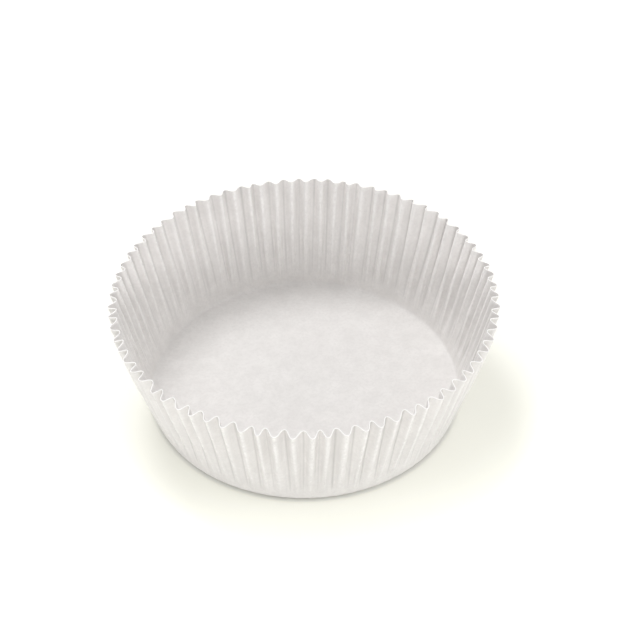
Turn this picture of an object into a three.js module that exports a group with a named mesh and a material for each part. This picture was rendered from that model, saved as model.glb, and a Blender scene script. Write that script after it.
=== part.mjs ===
// A paper tartlet cup, made from one round sheet of greaseproof paper: a flat floor, and a wall
// that stands in pleats because the flat sheet has more paper than the wall needs.
// Millimetres, +Z up. The origin is the middle of the floor's underside, which rests on the table.

import * as THREE from "three";

// Sizes of the cup. Each can be set by itself.
const floorDiameter = 50;
const rimDiameter = 61; // to the middle of the pleats at the cut edge
const cupHeight = 20; // from the table to the middle of the cut edge
const bendRadius = 0.6; // where the floor turns up into the wall, at the middle of the sheet
const paperThickness = 0.06;
const pleatCount = 74;

// Form of one pleat: across its width, and up the wall.
const foldSharpness = 0.8; // 0 is a smooth wave, near 1 is a knife-edged zigzag
const foldReach = 0.08; // how far the rounding of a fold goes to each side, in pleats
const pressedShare = 0.3; // share of its depth that a pleat keeps at the foot, where it is pressed flat
const pressedLength = 12; // length of paper up the wall over which the pleats open to their full depth

// How finely the sheet is divided.
const bendSteps = 2;
const wallSteps = 3;
const wallStepGrowth = 1.4; // steps are shorter low on the wall, where the pleats open fastest

const paperColor = 0xe9e5e1;
const paperRoughness = 0.82;
const paperMetalness = 0;

const fullTurn = 2 * Math.PI;
const floorRadius = floorDiameter / 2;

// Each half pleat has a column on its fold and one on either side of its flat flank, in pleats.
const halfPleat = 0.5;
const halfPleatColumns = [0, foldReach, halfPleat - foldReach];
const columnCount = (pleatCount / halfPleat) * halfPleatColumns.length;

// The wall seen from the side is an arc that starts level at the floor, then its tangent up to the rim.
const rimAcross = rimDiameter / 2 - floorRadius;
const rimAbove = cupHeight - paperThickness / 2 - bendRadius;
const slopeLength = Math.sqrt(rimAcross ** 2 + rimAbove ** 2 - bendRadius ** 2);
const wallAngle = Math.atan2(rimAbove, rimAcross) + Math.atan2(bendRadius, slopeLength);
const bendLength = bendRadius * wallAngle;

// The middle of the sheet at a distance along the paper from the floor's edge, without its pleats.
function wallPoint(along) {
  const turn = Math.min(along / bendRadius, wallAngle);
  const upSlope = along - turn * bendRadius;
  return {
    turn,
    radius: floorRadius + bendRadius * Math.sin(turn) + upSlope * Math.cos(wallAngle),
    height: paperThickness / 2 + bendRadius * (1 - Math.cos(turn)) + upSlope * Math.sin(wallAngle),
  };
}

// Where a column stands around the cup, counted in pleats.
function columnPlace(column) {
  const halves = Math.floor(column / halfPleatColumns.length);
  return halves * halfPleat + halfPleatColumns[column - halves * halfPleatColumns.length];
}

// One pleat's height across its width, from 1 on the outward rib to -1 in the inward groove.
function pleatWave(place) {
  return Math.asin(foldSharpness * Math.cos(fullTurn * place)) / Math.asin(foldSharpness);
}

// Half the depth of the pleats. They take up the length that the flat sheet has to spare, apart
// from what is pressed flat near the foot.
function pleatDepth(along) {
  const { radius } = wallPoint(along);
  const spareLength = (floorRadius + along) / radius;
  const pitch = (fullTurn * radius) / pleatCount;
  const opening = THREE.MathUtils.smoothstep(along, 0, pressedLength);
  const foldedDepth = pitch * halfPleat * Math.sqrt(Math.max(spareLength ** 2 - 1, 0));
  return (foldedDepth / 2) * THREE.MathUtils.lerp(pressedShare, 1, opening);
}

// A point in the middle of the pleated sheet. Pleats stand square to the wall.
function sheetPoint(along, column) {
  const place = columnPlace(column);
  const angle = (fullTurn * place) / pleatCount;
  const { turn, radius, height } = wallPoint(along);
  const rise = pleatDepth(along) * pleatWave(place);
  const outward = radius + rise * Math.sin(turn);
  return new THREE.Vector3(
    outward * Math.cos(angle),
    outward * Math.sin(angle),
    height - rise * Math.cos(turn),
  );
}

// From the middle of the sheet to its outer face, mitred so that the thickness holds past a fold.
function toOuterFace(along, column) {
  const angle = (fullTurn * columnPlace(column)) / pleatCount;
  const { turn } = wallPoint(along);
  const upWall = new THREE.Vector3(
    Math.cos(turn) * Math.cos(angle),
    Math.cos(turn) * Math.sin(angle),
    Math.sin(turn),
  );
  const here = sheetPoint(along, column);
  const before = here.clone().sub(sheetPoint(along, column - 1)).cross(upWall).normalize();
  const after = sheetPoint(along, column + 1).sub(here).cross(upWall).normalize();
  const mitre = paperThickness / 2 / (1 + before.dot(after));
  return before.add(after).multiplyScalar(mitre);
}

// Distances along the paper at which the sheet gets a ring of points, from the floor's edge to the rim.
function ringDistances() {
  const distances = [0];
  for (let step = 1; step <= bendSteps; step += 1) {
    distances.push((bendLength * step) / bendSteps);
  }
  for (let step = 1; step <= wallSteps; step += 1) {
    distances.push(bendLength + slopeLength * (step / wallSteps) ** wallStepGrowth);
  }
  return distances;
}

// The closed skin of the sheet: its outer face, its inner face, the cut edge and both sides of the floor.
function cupGeometry() {
  const positions = [];
  const triangles = [];

  function addPoint(point) {
    positions.push(point.x, point.y, point.z);
    return positions.length / 3 - 1;
  }

  function addRing(along, side) {
    const ring = [];
    for (let column = 0; column < columnCount; column += 1) {
      const offset = toOuterFace(along, column).multiplyScalar(side);
      ring.push(addPoint(sheetPoint(along, column).add(offset)));
    }
    return ring;
  }

  function addFacet(side, first, second, third) {
    triangles.push(first, side > 0 ? second : third, side > 0 ? third : second);
  }

  // Both faces of the sheet are divided alike, and the two flanks of a pleat mirror each other.
  function addBand(side, lower, upper) {
    for (let column = 0; column < columnCount; column += 1) {
      const next = (column + 1) % columnCount;
      const leaningOut = Math.floor(column / halfPleatColumns.length) % 2 === 1;
      const lowerEnd = leaningOut ? column : next;
      const upperEnd = leaningOut ? next : column;
      addFacet(side, lower[column], lower[next], upper[lowerEnd]);
      addFacet(side, lower[upperEnd], upper[next], upper[column]);
    }
  }

  function addDisc(side, center, ring) {
    for (let column = 0; column < columnCount; column += 1) {
      addFacet(side, center, ring[column], ring[(column + 1) % columnCount]);
    }
  }

  const distances = ringDistances();
  const outerRings = distances.map((along) => addRing(along, 1));
  const innerRings = distances.map((along) => addRing(along, -1));
  for (let ring = 1; ring < distances.length; ring += 1) {
    addBand(1, outerRings[ring - 1], outerRings[ring]);
    addBand(-1, innerRings[ring - 1], innerRings[ring]);
  }
  addBand(1, outerRings.at(-1), innerRings.at(-1));
  addDisc(-1, addPoint(new THREE.Vector3(0, 0, 0)), outerRings[0]);
  addDisc(1, addPoint(new THREE.Vector3(0, 0, paperThickness)), innerRings[0]);

  const geometry = new THREE.BufferGeometry();
  geometry.setAttribute("position", new THREE.Float32BufferAttribute(positions, 3));
  geometry.setIndex(triangles);
  geometry.computeVertexNormals();
  return geometry;
}

function greaseproofPaper() {
  return new THREE.MeshStandardMaterial({
    color: paperColor,
    roughness: paperRoughness,
    metalness: paperMetalness,
  });
}

function paperCup() {
  const cup = new THREE.Mesh(cupGeometry(), greaseproofPaper());
  cup.name = "paper_cup";
  return cup;
}

const tartletCup = new THREE.Group();
tartletCup.add(paperCup());

export default tartletCup;
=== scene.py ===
# Paper tartlet cup on a pale table: the fine pleated sheet, its paper, soft studio light and the camera.
import math
import random

import bpy
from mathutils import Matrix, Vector, noise


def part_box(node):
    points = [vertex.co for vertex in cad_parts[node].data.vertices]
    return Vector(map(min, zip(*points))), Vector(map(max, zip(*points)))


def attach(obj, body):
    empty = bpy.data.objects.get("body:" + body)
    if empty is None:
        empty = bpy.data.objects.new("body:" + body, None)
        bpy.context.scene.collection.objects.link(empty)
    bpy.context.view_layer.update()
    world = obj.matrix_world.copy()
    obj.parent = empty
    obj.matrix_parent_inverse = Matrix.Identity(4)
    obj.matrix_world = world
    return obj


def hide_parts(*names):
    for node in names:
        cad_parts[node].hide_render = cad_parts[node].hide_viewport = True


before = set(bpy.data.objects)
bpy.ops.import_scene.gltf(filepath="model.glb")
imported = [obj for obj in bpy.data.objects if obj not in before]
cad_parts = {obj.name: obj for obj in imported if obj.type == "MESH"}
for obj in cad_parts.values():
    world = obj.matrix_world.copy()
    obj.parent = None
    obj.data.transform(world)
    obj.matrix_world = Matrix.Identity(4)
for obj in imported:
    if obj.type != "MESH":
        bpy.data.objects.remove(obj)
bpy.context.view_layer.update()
mm = 0.001  # sizes below are written in millimetres


# The sheet: one round blank, flat in the middle and pleated all round.
# A share says how far up the sheet a place is: 0 at the floor's edge, 1 at the cut edge.

cup = {
    "node": "paper_cup",
    "pleats": 74,
    "thickness": 0.06,
    "edgeThickness": 0.11,  # the cut edge is a little burred
    "burrFrom": 0.95,  # edge mark past which the sheet has that thickness
    "bendRadius": 0.6,
    "topSpare": 0.26,  # the tops of the pleats lean out and reach above their middle
    "rimFits": 8,  # times the rim is fitted to the reach of the ribs
    "floorLevel": 0.001,  # the CAD solid's floor is below this
    "seed": 11,

    "foldSteps": 8,  # columns between a rib and the next groove
    "bendRows": 4,
    "wallRows": 22,
    "rowGrowth": 1.15,  # rows are closer at the foot of the wall
    "floorRings": 9,
    "ringGrowth": 0.45,  # rings are closer at the floor's edge
    "sharpAngle": 62,

    "foldSharpness": 0.5,
    "foldRoll": 0.07,  # how far the folds are rolled round at the cut edge
    "rollFull": 0.8,
    "footDepth": 0.36,  # part of the full pleat depth that shows at the foot
    "depthFull": 0.6,

    "widthVary": 0.18,
    "depthVary": 0.14,
    "leanVary": 0.3,
    "leanPivot": 0.4,
    "cutVary": 0.18,  # how far the cut edge runs in and out
    "cutOnset": 6,
    "sideRipple": 0.135,  # small extra folds on the pleats' sides, halfway up the wall
    "leastRipple": 0.5,
    "secondRipple": 0.7,
    "rippleTurn": 3,
    "rippleFull": 0.3,
    "rippleFade": (0.45, 0.85),
    "wobble": 0.16,
    "wobbleAround": 5,
    "wobbleUp": 0.09,
    "outOfRound": 0.22,
    "ovalTurn": 0.9,
    "ovalOnset": 1.5,

    "edgeBand": 0.25,  # width of the painted highlight along the cut edge
    "creaseReach": 0.26,  # how far the mark of a fold goes to each side
    "leastMark": 0.55,
    "footMark": 0.55,
    "markFull": 0.25,
    "footLine": 0.35,  # width of the painted highlight on the crease where the floor ends
    "footHighlight": 1.4,
    "footHighlightPlace": 0.1,  # part of the way round the bend
    "footHighlightReach": 0.3,

    "floorLift": 0.22,
    "liftReach": 9,
    "swells": {"height": 0.5, "scale": 0.085, "shift": (3, 0, 0.4)},
    "dimples": {"height": 0.18, "scale": 0.3, "shift": (0, 0, 7)},
    "footLift": 0.35,  # the floor's edge stands a little off the table
    "footReach": 7,
    "footWrinkle": 0.15,  # height of the small creases that run a little way into the floor
    "wrinkleScale": 22,
    "wrinkleReach": (0.8, 3.5),
}


def smooth(x):
    x = min(max(x, 0.0), 1.0)
    return x * x * (3 - 2 * x)


def lerp(a, b, t):
    return a + (b - a) * t


# the CAD solid's main sizes, in mm
def measureSolid():
    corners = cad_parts[cup["node"]].data.vertices
    low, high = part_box(cup["node"])
    return {
        "floorRadius": max(v.co.xy.length for v in corners if v.co.z < cup["floorLevel"] * mm) / mm,
        "reach": (high.x - low.x) / 2 / mm,  # axis to the tip of a rib
        "top": high.z / mm,
    }


# the wall from the side: an arc off the floor, then its tangent up to the cut edge
def wallLine(solid):
    blankGuess = solid["floorRadius"] + solid["top"]
    rimRadius = solid["reach"]
    for _ in range(cup["rimFits"]):  # rib tips stand out from the middle of the sheet by the pleat depth
        rimRadius = solid["reach"] - pleatDepth(rimRadius, blankGuess) - cup["thickness"] / 2
        across = rimRadius - solid["floorRadius"]
        blankGuess = solid["floorRadius"] + math.hypot(across, solid["top"])
    above = solid["top"] - cup["topSpare"] - cup["thickness"] / 2 - cup["bendRadius"]
    slope = math.sqrt(across ** 2 + above ** 2 - cup["bendRadius"] ** 2)
    angle = math.atan2(above, across) + math.atan2(cup["bendRadius"], slope)
    bend = cup["bendRadius"] * angle
    return {
        "floorRadius": solid["floorRadius"],
        "angle": angle,
        "bend": bend,
        "length": bend + slope,
        "bendShare": bend / (bend + slope),
    }


def wallPoint(line, along):
    turn = min(along / cup["bendRadius"], line["angle"])
    up = along - turn * cup["bendRadius"]
    radius = line["floorRadius"] + cup["bendRadius"] * math.sin(turn) + up * math.cos(line["angle"])
    height = cup["thickness"] / 2 + cup["bendRadius"] * (1 - math.cos(turn)) + up * math.sin(line["angle"])
    return turn, radius, height


# half the depth that takes up the blank's spare length
def pleatDepth(radius, blankRadius):
    pitch = math.tau * radius / cup["pleats"]
    return pitch / 4 * math.sqrt(max((blankRadius / radius) ** 2 - 1, 0))


# every fold line has its own place, depth and lean; even ones are ribs, odd ones grooves
def foldLines():
    rng = random.Random(cup["seed"])
    step = math.pi / cup["pleats"]
    folds = []
    for i in range(2 * cup["pleats"]):
        folds.append({
            "angle": i * step + rng.uniform(-1, 1) * cup["widthVary"] * step,
            "lean": rng.uniform(-1, 1) * cup["leanVary"] * step,
            "depth": (1 if i % 2 == 0 else -1) * (1 - rng.random() * cup["depthVary"]),
            "ripple": rng.uniform(cup["leastRipple"], 1) * (1 if rng.random() < 0.5 else -1),
            "cut": rng.random() * cup["cutVary"],
            "mark": rng.uniform(cup["leastMark"], 1),
        })
    return folds


# 1 along a rib, -1 along a groove, and 0 between them; fainter towards the foot. It sets the pale ridges and
# the painted shade in the grooves
def foldMark(folds, fold, t, share):
    rib = 1 if fold % 2 == 0 else -1
    here = folds[fold]["mark"] * max(1 - t / cup["creaseReach"], 0.0)
    after = folds[(fold + 1) % len(folds)]["mark"] * max(1 - (1 - t) / cup["creaseReach"], 0.0)
    return rib * (here - after) * smooth(share / cup["markFull"]) * lerp(cup["footMark"], 1, share)


# 1 on the cut edge and nearly 1 on the crease at the foot: where the sheet gets a painted highlight
def edgeMark(line, share):
    band = 1 - (1 - share) * line["length"] / cup["edgeBand"]
    aside = abs(share / line["bendShare"] - cup["footHighlightPlace"]) / cup["footHighlightReach"]
    return max(band, cup["footHighlight"] * max(1 - aside, 0.0))


# 0 on one fold, 1 on the next; a roll widens both folds and steepens the side between them
def foldSide(t, roll):
    place = math.pi * (t - 0.5)
    swing = math.asin(cup["foldSharpness"] * math.sin(place)) / math.asin(cup["foldSharpness"])
    return 0.5 + 0.5 * (swing + roll * math.sin(3 * place)) / (1 - roll)


def rippleRise(ripple, t, share):
    start, end = cup["rippleFade"]
    halfway = smooth(share / cup["rippleFull"]) * (1 - smooth((share - start) / (end - start)))
    first = math.sin(math.tau * t)
    second = cup["secondRipple"] * math.sin(2 * math.tau * t + cup["rippleTurn"] * ripple)
    return cup["sideRipple"] * ripple * (first + second) * halfway * math.sin(math.pi * t)


# the cup isn't quite round, and its wall isn't quite straight
def outOfTrue(around, angle, height, share):
    up = Vector((0, 0, height * cup["wobbleUp"]))
    wobble = cup["wobble"] * (noise.noise(around * cup["wobbleAround"] + up) - 0.5) * share
    oval = 0.5 + 0.5 * math.cos(2 * angle + cup["ovalTurn"])
    return wobble - cup["outOfRound"] * oval * share ** cup["ovalOnset"]


def sheetPoint(line, folds, fold, t, share):
    here, after = folds[fold], folds[(fold + 1) % len(folds)]
    turnOver = math.tau if fold + 1 == len(folds) else 0
    lean = share - cup["leanPivot"]
    angle = lerp(here["angle"] + here["lean"] * lean, after["angle"] + turnOver + after["lean"] * lean, t)
    around = Vector((math.cos(angle), math.sin(angle), 0))
    cut = lerp(here["cut"], after["cut"], smooth(t)) * share ** cup["cutOnset"]
    along = (line["length"] - cut) * share
    turn, radius, height = wallPoint(line, along)

    opened = lerp(cup["footDepth"], 1, smooth(share / cup["depthFull"]))
    side = foldSide(t, cup["foldRoll"] * smooth(share / cup["rollFull"]))
    rise = pleatDepth(radius, line["floorRadius"] + along) * opened
    rise *= lerp(here["depth"], after["depth"], side)
    rise += rippleRise(here["ripple"], t, share)
    rise += outOfTrue(around, angle, height, share)
    out = radius + rise * math.sin(turn)
    height += cup["footLift"] * (1 - share)
    return out * around.x, out * around.y, height - rise * math.cos(turn)


def floorWave(x, y, wave):
    right, back, up = wave["shift"]
    at = Vector((x * wave["scale"] + right, y * wave["scale"] + back, up))
    return wave["height"] * noise.noise(at)


def floorPoint(line, x, y):
    inward = line["floorRadius"] - math.hypot(x, y)
    swell = cup["swells"]["height"] + floorWave(x, y, cup["swells"]) + floorWave(x, y, cup["dimples"])
    lift = cup["footLift"] * max(1 - inward / cup["footReach"], 0) ** 2
    start, end = cup["wrinkleReach"]
    around = Vector((x, y, 0)).normalized() * cup["wrinkleScale"]
    lift += cup["footWrinkle"] * noise.noise(around) * smooth(1 - inward / end) * smooth(inward / start)
    lift += cup["floorLift"] * max(swell, 0) * smooth(inward / cup["liftReach"])
    return x, y, cup["thickness"] / 2 + lift


# shares at which the sheet has a row, with the last two closer for the painted highlight along the cut edge
def sheetRows(line):
    band = cup["edgeBand"] / line["length"]
    rows = [line["bendShare"] * k / cup["bendRows"] for k in range(cup["bendRows"])]
    steps = [(k / cup["wallRows"]) ** cup["rowGrowth"] for k in range(cup["wallRows"])]
    rows += [lerp(line["bendShare"], 1, step) for step in steps]
    rows = [share for share in rows if share < 1 - 1.5 * band]
    return rows + [1 - band, 1 - 0.5 * band, 1]


# how far out the floor has a ring, from 1 at its edge to 0 in the middle
def floorRows(line):
    rings = [1 - cup["footLine"] / line["floorRadius"]]
    steps = range(cup["floorRings"] - 1, 0, -1)
    return rings + [(k / cup["floorRings"]) ** cup["ringGrowth"] for k in steps]


def makeCupMesh():
    line = wallLine(measureSolid())
    folds = foldLines()
    columns = [(fold, 0.5 - 0.5 * math.cos(math.pi * k / cup["foldSteps"]))
               for fold in range(len(folds)) for k in range(cup["foldSteps"])]
    count = len(columns)

    points, edgeMarks, foldMarks = [], [], []
    wall = []
    for share in sheetRows(line):
        wall.append(range(len(points), len(points) + count))
        points += [sheetPoint(line, folds, fold, t, share) for fold, t in columns]
        edgeMarks += [edgeMark(line, share)] * count
        foldMarks += [foldMark(folds, fold, t, share) for fold, t in columns]

    rings = []
    foot = points[:count]
    for outward in floorRows(line):
        rings.append(range(len(points), len(points) + count))
        points += [floorPoint(line, x * outward, y * outward) for x, y, z in foot]
    middle = len(points)
    points.append(floorPoint(line, 0, 0))
    unmarked = [0.0] * (len(points) - len(edgeMarks))

    loops = rings[::-1] + wall
    faces = []
    for low, high in zip(loops, loops[1:]):
        for c in range(count):
            d = (c + 1) % count
            faces.append((low[c], high[c], high[d], low[d]))
    faces += [(middle, loops[0][c], loops[0][(c + 1) % count]) for c in range(count)]

    mesh = bpy.data.meshes.new("paperCupFine")
    mesh.from_pydata([(x * mm, y * mm, z * mm) for x, y, z in points], [], faces)
    # the first mask is for the painted highlight on the cut edge and the crease at the foot
    for name, marks in (("edgeHighlight", edgeMarks + unmarked), ("foldLine", foldMarks + unmarked)):
        mesh.attributes.new(name, "FLOAT", "POINT").data.foreach_set("value", marks)
    mesh.validate()
    return mesh


def makeCup(paper):
    obj = bpy.data.objects.new("paperCupFine", makeCupMesh())
    bpy.context.scene.collection.objects.link(obj)
    # the group holds the cut edge, picked out of the painted-highlight mask, for the burr's thickness
    edge = obj.vertex_groups.new(name="edgeHighlight")
    for v, mark in enumerate(obj.data.attributes["edgeHighlight"].data):
        if mark.value > cup["burrFrom"]:
            edge.add([v], 1.0, "REPLACE")
    sheet = obj.modifiers.new("sheet", "SOLIDIFY")  # both faces of the paper and its cut edge
    sheet.thickness = cup["edgeThickness"] * mm
    sheet.thickness_vertex_group = cup["thickness"] / cup["edgeThickness"]
    sheet.vertex_group = edge.name
    sheet.offset = 0
    bpy.context.view_layer.objects.active = obj
    bpy.ops.object.modifier_apply(modifier=sheet.name)
    obj.data.shade_smooth()
    obj.data.set_sharp_from_angle(angle=math.radians(cup["sharpAngle"]))
    obj.data.materials.append(paper)
    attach(obj, "root")
    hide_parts(cup["node"])
    return obj


# The paper: white greaseproof sheet, cloudy, lightly fibred and crinkled across the ribs.

paperLook = {
    "base": (0.85, 0.83, 0.814),
    "thin": (0.768, 0.748, 0.732),
    "fibre": (0.72, 0.70, 0.685),
    "streak": (0.73, 0.713, 0.70),
    "foldWhiteAndHighlight": (0.925, 0.91, 0.895),  # paper whitens along a fold, and the pale ridge is also a painted highlight
    "paintedShadeTone": (0.58, 0.565, 0.55),  # painted shade in the grooves
    # painted highlight along the cut edge and on the crease at the foot
    "edgeHighlight": (0.96, 0.95, 0.94),
    "roughness": (0.55, 0.72),
    "specular": 0.35,
    "clouds": {"size": 3.2, "detail": 5, "rough": 0.62, "range": (0.35, 0.68)},
    "grain": {"size": 0.9, "detail": 4, "rough": 0.6, "range": (0.3, 0.7), "most": 0.35, "bump": 0.014},
    "fibres": {"size": 0.5, "detail": 3, "rough": 0.65, "range": (0.42, 0.72), "most": 0.55},
    # crinkles run across the pleats, and streaks from the pressing run up the wall
    "crinkles": {"size": 0.55, "detail": 3, "rough": 0.55, "stretch": (0.28, 1.0), "bump": 0.07},
    "streaks": {"size": 0.42, "detail": 2, "rough": 0.5, "stretch": (1.0, 0.035), "bump": 0.1,
                "range": (0.48, 0.68), "most": 0.5},
    "wallFrom": (0.4, 2.5),  # heights between which both come in
    "tubeRadius": 27.5,
    "flecks": {"size": 0.85, "detail": 4, "rough": 0.7, "range": (0.4, 0.6), "least": 0.05},  # on ribs, breaking up their pale marks and painted highlight
    "ridgeWhiteAndHighlight": (0.1, 0.7),  # fold marks between which a ridge turns pale: partly paper whitening, partly painted highlight
    "grooveShade": (-0.15, -0.75),  # and a groove gets painted shade
    "innerMarks": 0.7,  # both are weaker on the inner face
}


def newNode(tree, kind, **settings):
    node = tree.nodes.new(kind)
    for name, value in settings.items():
        if hasattr(node, name):
            setattr(node, name, value)
        else:
            node.inputs[name].default_value = value
    return node


def noiseAt(tree, vector, layer):
    scale = 1 / (layer["size"] * mm)
    node = newNode(tree, "ShaderNodeTexNoise", Scale=scale, Detail=layer["detail"], Roughness=layer["rough"])
    tree.links.new(vector, node.inputs["Vector"])
    return node.outputs["Fac"]


def stretchRange(tree, value, lowest, highest, toLow=0.0, toHigh=1.0, shape="LINEAR"):
    node = newNode(tree, "ShaderNodeMapRange", interpolation_type=shape)
    for name, number in (("From Min", lowest), ("From Max", highest), ("To Min", toLow), ("To Max", toHigh)):
        node.inputs[name].default_value = number
    tree.links.new(value, node.inputs["Value"])
    return node.outputs["Result"]


def heightOf(tree, place):
    split = tree.nodes.new("ShaderNodeSeparateXYZ")
    tree.links.new(place, split.inputs[0])
    return split.outputs["Z"]


# place on the wall as if it were a straight tube, stretched around it and up it
def tubePlace(tree, place, stretch):
    aroundScale, upScale = stretch
    level = newNode(tree, "ShaderNodeVectorMath", operation="MULTIPLY")
    level.inputs[1].default_value = (1, 1, 0)
    tree.links.new(place, level.inputs[0])
    unit = newNode(tree, "ShaderNodeVectorMath", operation="NORMALIZE")
    tree.links.new(level.outputs[0], unit.inputs[0])
    tubeRadius = paperLook["tubeRadius"] * mm
    ring = newNode(tree, "ShaderNodeVectorMath", operation="SCALE", Scale=tubeRadius * aroundScale)
    tree.links.new(unit.outputs[0], ring.inputs[0])
    rise = newNode(tree, "ShaderNodeVectorMath", operation="MULTIPLY")
    rise.inputs[1].default_value = (0, 0, upScale)
    tree.links.new(place, rise.inputs[0])
    both = newNode(tree, "ShaderNodeVectorMath", operation="ADD")
    tree.links.new(ring.outputs[0], both.inputs[0])
    tree.links.new(rise.outputs[0], both.inputs[1])
    return both.outputs[0]


def addBump(tree, height, distance, normal=None):
    bump = newNode(tree, "ShaderNodeBump", Strength=1.0, Distance=distance * mm)
    tree.links.new(height, bump.inputs["Height"])
    if normal:
        tree.links.new(normal, bump.inputs["Normal"])
    return bump.outputs[0]


def mixColours(tree, factor, first, second):
    mix = newNode(tree, "ShaderNodeMix", data_type="RGBA")
    tree.links.new(factor, mix.inputs["Factor"])
    for socket, colour in ((mix.inputs[6], first), (mix.inputs[7], second)):
        if isinstance(colour, tuple):
            socket.default_value = (*colour, 1)
        else:
            tree.links.new(colour, socket)
    return mix.outputs[2]


def joinValues(tree, operation, a, b, clamp=False):
    node = newNode(tree, "ShaderNodeMath", operation=operation, use_clamp=clamp)
    tree.links.new(a, node.inputs[0])
    tree.links.new(b, node.inputs[1])
    return node.outputs[0]


def timesValue(tree, a, b):
    return joinValues(tree, "MULTIPLY", a, b)


# 1 on the face that looks away from the cup's axis, -1 on the face that looks in
def outwardSign(tree, place):
    facing = newNode(tree, "ShaderNodeVectorMath", operation="DOT_PRODUCT")
    tree.links.new(tree.nodes.new("ShaderNodeTexCoord").outputs["Normal"], facing.inputs[0])
    level = newNode(tree, "ShaderNodeVectorMath", operation="MULTIPLY")
    level.inputs[1].default_value = (1, 1, 0)
    tree.links.new(place, level.inputs[0])
    tree.links.new(level.outputs[0], facing.inputs[1])
    sign = newNode(tree, "ShaderNodeMath", operation="SIGN")
    tree.links.new(facing.outputs["Value"], sign.inputs[0])
    return sign.outputs[0]


# clouds, grain and fibres of the sheet itself
def paperTone(tree, place, grain):
    look = paperLook
    clouds = stretchRange(tree, noiseAt(tree, place, look["clouds"]), *look["clouds"]["range"])
    tone = mixColours(tree, clouds, look["thin"], look["base"])
    grains = stretchRange(tree, grain, *look["grain"]["range"], 0, look["grain"]["most"])
    tone = mixColours(tree, grains, tone, look["base"])
    fibres = noiseAt(tree, place, look["fibres"])
    fibres = stretchRange(tree, fibres, *look["fibres"]["range"], 0, look["fibres"]["most"])
    return mixColours(tree, fibres, tone, look["fibre"])


# pale ridges, partly paper whitening and partly painted highlight, and painted shade in the grooves, as each
# face of the sheet sees the folds; and the painted highlight on the cut edge and the crease at the foot
def markFolds(tree, place, tone):
    look = paperLook
    outward = outwardSign(tree, place)
    fold = newNode(tree, "ShaderNodeAttribute", attribute_name="foldLine").outputs["Fac"]
    facing = timesValue(tree, fold, outward)
    strength = stretchRange(tree, outward, -1, 1, look["innerMarks"], 1)
    flecks = noiseAt(tree, place, look["flecks"])
    flecks = stretchRange(tree, flecks, *look["flecks"]["range"], look["flecks"]["least"], 1)
    # pale ridges: partly paper whitening at the fold, partly painted highlight where a ridge catches light
    ridgeWhiteAndHighlight = timesValue(tree, stretchRange(tree, facing, *look["ridgeWhiteAndHighlight"]), flecks)
    tone = mixColours(tree, timesValue(tree, ridgeWhiteAndHighlight, strength), tone, look["foldWhiteAndHighlight"])
    # painted shade in the grooves, weaker on the inner face
    grooveShade = stretchRange(tree, facing, *look["grooveShade"])
    tone = mixColours(tree, timesValue(tree, grooveShade, strength), tone, look["paintedShadeTone"])
    # painted highlight along the cut edge and the crease at the foot
    edge = newNode(tree, "ShaderNodeAttribute", attribute_name="edgeHighlight").outputs["Fac"]
    return mixColours(tree, edge, tone, look["edgeHighlight"])


def makePaper():
    look = paperLook
    mat = bpy.data.materials.new("greaseproofPaper")
    mat.use_nodes = True
    tree = mat.node_tree
    surface = tree.nodes["Principled BSDF"]
    place = tree.nodes.new("ShaderNodeTexCoord").outputs["Object"]

    grain = noiseAt(tree, place, look["grain"])
    onWall = stretchRange(tree, heightOf(tree, place), *[h * mm for h in look["wallFrom"]])
    crinkle = noiseAt(tree, tubePlace(tree, place, look["crinkles"]["stretch"]), look["crinkles"])
    crinkle = timesValue(tree, crinkle, onWall)
    streak = noiseAt(tree, tubePlace(tree, place, look["streaks"]["stretch"]), look["streaks"])
    streak = timesValue(tree, streak, onWall)

    streaks = stretchRange(tree, streak, *look["streaks"]["range"], 0, look["streaks"]["most"])
    tone = mixColours(tree, streaks, paperTone(tree, place, grain), look["streak"])
    tree.links.new(markFolds(tree, place, tone), surface.inputs["Base Color"])
    rough = stretchRange(tree, grain, *look["grain"]["range"], *look["roughness"])
    tree.links.new(rough, surface.inputs["Roughness"])

    normal = addBump(tree, grain, look["grain"]["bump"])
    normal = addBump(tree, crinkle, look["crinkles"]["bump"], normal)
    normal = addBump(tree, streak, look["streaks"]["bump"], normal)
    tree.links.new(normal, surface.inputs["Normal"])
    surface.inputs["Specular IOR Level"].default_value = look["specular"]
    return mat


fineCup = makeCup(makePaper())
print("cup: pleated sheet of", len(fineCup.data.polygons), "faces")


# Table and light: pale floor, white surroundings, broad soft lamps.

studio = {
    "floorSize": 3000,
    "floorDrop": 0.02,
    "floorTone": (0.86, 0.858, 0.815),  # its shadow is faintly yellow
    "floorRoughness": 0.9,
    "floorSpecular": 0.1,
    # near the cup the glow is yellowish, a painted yellow tint in the shadow there
    "glowTone": (1.0, 1.0, 0.8),
    "glows": [  # the floor glows for the camera: none at the cup's foot, so the dark contact line there is partly painted shade; a little just outside it; and white further off, round a centre set back, so the shadow is painted out in front and kept at the sides
        {"center": (0, 0, 0), "start": 25.2, "full": 26.3, "strength": 0.15},
        {"center": (0, 16, 0), "start": 37, "full": 74, "strength": 0.85},
    ],
    "skyLight": 0.655,
    "lamps": [
        {"name": "topLamp", "at": (-112, 188, 385), "size": 180, "power": 0.79},
        {"name": "frontLamp", "at": (20, -450, 110), "size": 100, "power": 0.52},
        {"name": "rightLamp", "at": (430, -60, 165), "size": 200, "power": 0.4},
        {"name": "leftLamp", "at": (-430, -120, 190), "size": 200, "power": 0.16},
    ],
}


# 1 for rays that should see plain white: the camera's own, and those by way of gloss or glass
def seenRays(tree):
    path = tree.nodes.new("ShaderNodeLightPath")
    seen = path.outputs["Is Camera Ray"]
    for name in ("Is Glossy Ray", "Is Transmission Ray"):
        seen = joinValues(tree, "ADD", seen, path.outputs[name], clamp=True)
    return seen


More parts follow.
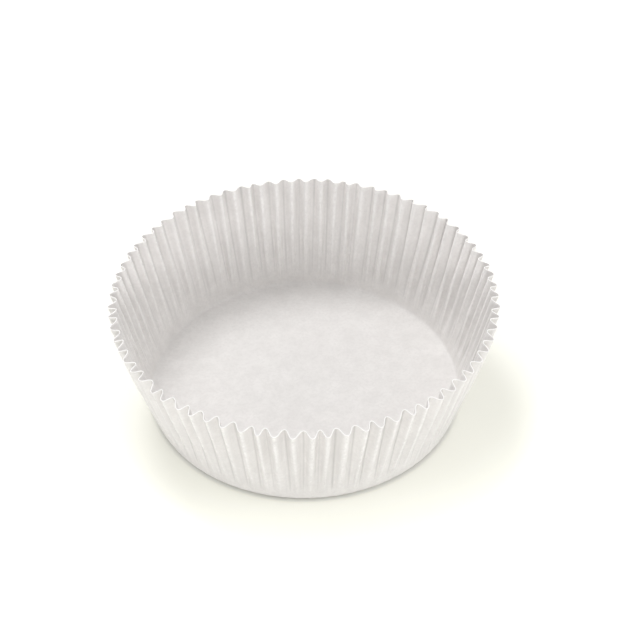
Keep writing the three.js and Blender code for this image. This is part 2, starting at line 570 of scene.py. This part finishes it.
# seen by the camera but casting no light on the cup, so that its shadow ends in a white ground
def glowAt(tree, place, glow):
    reach = newNode(tree, "ShaderNodeVectorMath", operation="DISTANCE")
    reach.inputs[1].default_value = [c * mm for c in glow["center"]]
    tree.links.new(place, reach.inputs[0])
    start, full = glow["start"] * mm, glow["full"] * mm
    return stretchRange(tree, reach.outputs["Value"], start, full, 0, glow["strength"], "SMOOTHSTEP")


def makeTableTone():
    mat = bpy.data.materials.new("paleTable")
    mat.use_nodes = True
    tree = mat.node_tree
    surface = tree.nodes["Principled BSDF"]
    surface.inputs["Base Color"].default_value = (*studio["floorTone"], 1)
    surface.inputs["Roughness"].default_value = studio["floorRoughness"]
    surface.inputs["Specular IOR Level"].default_value = studio["floorSpecular"]
    place = tree.nodes.new("ShaderNodeTexCoord").outputs["Object"]
    # the foot glow leaves a painted dark contact line; the ground glow paints the shadow out into white,
    # sooner in front
    foot, ground = [glowAt(tree, place, glow) for glow in studio["glows"]]
    glow = timesValue(tree, seenRays(tree), joinValues(tree, "ADD", foot, ground))
    tree.links.new(glow, surface.inputs["Emission Strength"])
    tree.links.new(mixColours(tree, ground, studio["glowTone"], (1, 1, 1)), surface.inputs["Emission Color"])
    return mat


def makeFloor():
    half = studio["floorSize"] / 2 * mm
    low = -studio["floorDrop"] * mm
    mesh = bpy.data.meshes.new("tableTop")
    corners = [(-half, -half, low), (half, -half, low), (half, half, low), (-half, half, low)]
    mesh.from_pydata(corners, [], [(0, 1, 2, 3)])
    mesh.materials.append(makeTableTone())
    obj = bpy.data.objects.new("tableTop", mesh)
    bpy.context.scene.collection.objects.link(obj)


def makeSky():
    world = bpy.data.worlds.new("softRoom")
    bpy.context.scene.world = world
    world.use_nodes = True
    tree = world.node_tree
    sky = tree.nodes["Background"]
    sky.inputs["Color"].default_value = (1, 1, 1, 1)
    strength = stretchRange(tree, seenRays(tree), 0, 1, studio["skyLight"], 1)
    tree.links.new(strength, sky.inputs["Strength"])


def makeLamps():
    for lamp in studio["lamps"]:
        data = bpy.data.lights.new(lamp["name"], "AREA")
        data.shape = "DISK"
        data.size = lamp["size"] * mm
        data.energy = lamp["power"]
        obj = bpy.data.objects.new(lamp["name"], data)
        obj.location = Vector(lamp["at"]) * mm
        obj.rotation_euler = (-obj.location).to_track_quat("-Z", "Y").to_euler()
        bpy.context.scene.collection.objects.link(obj)


print("table, sky and lamps")
makeFloor()
makeSky()
makeLamps()


# The camera: close, looking down into the cup.

shot = {
    "elevation": 42,
    "distance": 230,
    "aim": (2.5, 1.3, 13.3),
    "lens": 80,
    "nearest": 1,
}


def makeCamera():
    data = bpy.data.cameras.new("camera")
    data.lens = shot["lens"]
    data.clip_start = shot["nearest"] * mm
    obj = bpy.data.objects.new("camera", data)
    down = math.radians(shot["elevation"])
    aim = Vector(shot["aim"]) * mm
    away = Vector((0, -math.cos(down), math.sin(down)))
    obj.location = aim + away * shot["distance"] * mm
    obj.rotation_euler = (-away).to_track_quat("-Z", "Y").to_euler()
    bpy.context.scene.collection.objects.link(obj)
    bpy.context.scene.camera = obj


print("camera")
makeCamera()
bpy.context.scene.view_settings.view_transform = "Standard"
